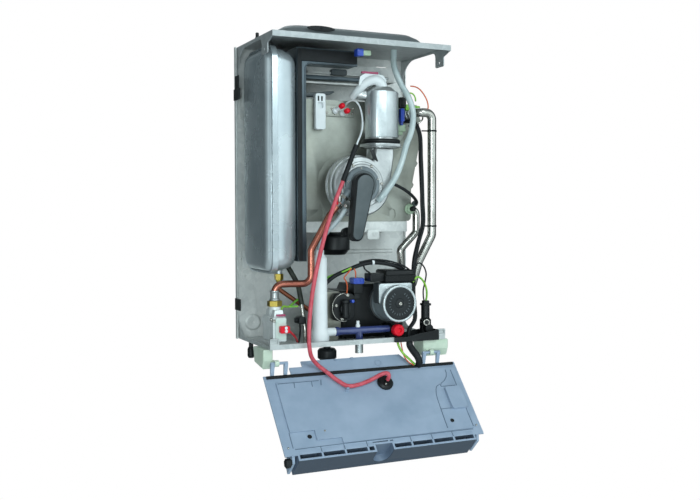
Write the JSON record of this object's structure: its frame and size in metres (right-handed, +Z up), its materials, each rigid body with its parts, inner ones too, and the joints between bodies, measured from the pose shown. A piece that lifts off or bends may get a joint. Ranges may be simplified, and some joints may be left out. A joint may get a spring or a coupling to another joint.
{
  "type": "wall-hung condensing boiler",
  "caption": "Wall-hung condensing boiler with its outer case off and its control panel hinged down on its lead.",
  "frame": {"origin": "on the rear face of the back panel, on the centre line, 18 mm below the two hanging slots", "axes": "+Z up, +Y into the wall, +X to the right seen from the front"},
  "size_m": [0.45, 0.3663, 0.9133],
  "materials": {
    "galvanised_steel": "galvanised sheet steel, satin",
    "vessel_paint": "blue-grey painted pressed steel, semi-gloss",
    "hood_paint": "dark grey pressed cover, satin",
    "stainless": "stainless steel, warm dull satin",
    "cast_alloy": "bright cast and turned aluminium",
    "black_plastic": "black moulded plastic, satin",
    "black_rubber": "black rubber, matt",
    "dark_grey_plastic": "dark grey moulded plastic, matt",
    "copper": "bare copper pipe, polished",
    "brown_copper": "copper pipe browned by heat",
    "brass": "machined brass",
    "chromed_pipe": "bright steel pipe",
    "white_plastic": "white moulded plastic",
    "grey_hose": "light grey flexible hose",
    "clear_hose": "milky translucent hose",
    "red_silicone": "pinkish red silicone lead",
    "red_plastic": "bright red moulded cap",
    "blue_plastic": "dark blue semi-clear moulded pipe",
    "pale_green_plastic": "pale green milky nylon",
    "panel_plastic": "blue-grey moulded panel",
    "fascia_plastic": "darker blue-grey moulded fascia"
  },
  "bodies": {
    "chassis": {"back_panel": "galvanised_steel", "top_plate": "galvanised_steel", "bottom_rail": "galvanised_steel", "flue_hood": "hood_paint", "vessel_outer_shell": "vessel_paint", "vessel_inner_shell": "vessel_paint", "vessel_strap_upper": "galvanised_steel", "vessel_strap_lower": "galvanised_steel", "vessel_union": "brass", "chamber_frame": "black_plastic", "bracket_rail": "galvanised_steel", "cross_bar": "galvanised_steel", "exchanger_body": "stainless", "exchanger_cover": "stainless", "clamp_plug": "white_plastic", "fan_volute": "cast_alloy", "fan_motor": "black_plastic", "fan_inlet_ring": "cast_alloy", "silencer": "dark_grey_plastic", "mixture_pipe": "cast_alloy", "outlet_clamp": "black_plastic", "gas_valve": "cast_alloy", "gas_nut": "brass", "gas_pipe": "copper", "fill_pipe": "brown_copper", "vent_tube": "chromed_pipe", "condensate_trap": "white_plastic", "condensate_sump": "black_plastic", "drain_pipe": "blue_plastic", "plate_exchanger": "stainless", "hydraulic_block": "black_plastic", "diverter_actuator": "black_plastic", "pump_body": "dark_grey_plastic", "pump_face": "cast_alloy", "pump_terminal_box": "black_plastic", "flow_sensor": "black_plastic", "wiring_tray": "black_plastic", "flow_pipe": "chromed_pipe", "return_pipe": "chromed_pipe", "igniter_wire": "white_plastic", "lead_sleeve": "black_rubber", "ignition_lead": "red_silicone", "lead_crossing": "red_silicone", "wiring_loom": "black_rubber", "air_hose": "clear_hose", "trap_hose": "grey_hose", "panel_loom": "black_rubber", "hinge_block_left": "pale_green_plastic", "hinge_block_right": "pale_green_plastic"},
    "control_panel": {"panel_shell": "panel_plastic", "panel_fascia": "fascia_plastic", "panel_cover": "panel_plastic", "lead_socket": "black_plastic", "panel_lead": "red_silicone"},
    "fan_impeller": {"fan_impeller": "dark_grey_plastic"},
    "relief_cap": {"relief_cap": "red_plastic"},
    "side_tap": {"side_tap": "black_plastic"},
    "main_tap": {"main_tap": "black_plastic"},
    "heating_knob": {"heating_knob": "black_plastic"},
    "water_knob": {"water_knob": "black_plastic"}
  },
  "joints": [
    {"name": "panel_hinge", "type": "hinge", "parent": "chassis", "child": "control_panel", "pos_m": [0, -0.231, -0.636], "axis": [-1, 0, 0], "range_deg": [0, 136.2], "deforming": ["lead_crossing", "panel_loom"]},
    {"name": "fan_spin", "type": "hinge", "parent": "chassis", "child": "fan_impeller", "pos_m": [0.013, -0.17, -0.265], "axis": [0, -1, 0], "continuous": true},
    {"name": "relief_turn", "type": "hinge", "parent": "chassis", "child": "relief_cap", "pos_m": [0.093, -0.21, -0.5855], "axis": [0, -1, 0], "range_deg": [0, 90]},
    {"name": "side_tap_turn", "type": "hinge", "parent": "chassis", "child": "side_tap", "pos_m": [-0.195, -0.055, -0.625], "axis": [0, 0, -1], "range_deg": [0, 90]},
    {"name": "main_tap_turn", "type": "hinge", "parent": "chassis", "child": "main_tap", "pos_m": [-0.056, -0.16, -0.63], "axis": [0, 0, -1], "range_deg": [0, 90]},
    {"name": "heating_knob_turn", "type": "hinge", "parent": "control_panel", "child": "heating_knob", "pos_m": [-0.11, -0.24954, -0.7637], "axis": [0, 0.7218, -0.6921], "range_deg": [0, 270]},
    {"name": "water_knob_turn", "type": "hinge", "parent": "control_panel", "child": "water_knob", "pos_m": [0.11, -0.24954, -0.7637], "axis": [0, 0.7218, -0.6921], "range_deg": [0, 270]}
  ]
}
